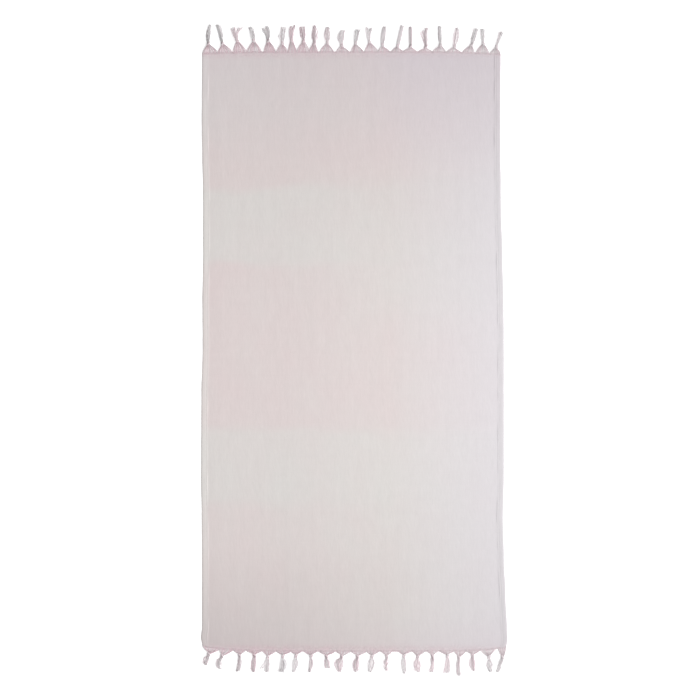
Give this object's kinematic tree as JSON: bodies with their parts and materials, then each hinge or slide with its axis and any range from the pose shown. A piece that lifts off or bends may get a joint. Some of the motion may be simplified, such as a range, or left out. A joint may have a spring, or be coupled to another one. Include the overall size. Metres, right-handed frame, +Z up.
{
  "type": "hammam towel",
  "caption": "Hammam towel of thin flat-woven cotton, laid out flat, with narrow side hems and knotted tassel fringes at both ends.",
  "frame": {"origin": "on the surface that the towel lies on, under the middle of its bounding box", "axes": "+Y along the towel's length towards its head end, +X across its width to the right as seen from above, +Z up out of its face"},
  "size_m": [0.9192, 1.9535, 0.0085],
  "materials": {
    "woven_cotton": "matte plain-woven cotton, pale rose",
    "fringe_cotton": "matte loose cotton yarn, rose and white"
  },
  "bodies": {
    "root": {"cloth": "woven_cotton", "fringe_head": "fringe_cotton", "fringe_foot": "fringe_cotton"}
  },
  "joints": []
}
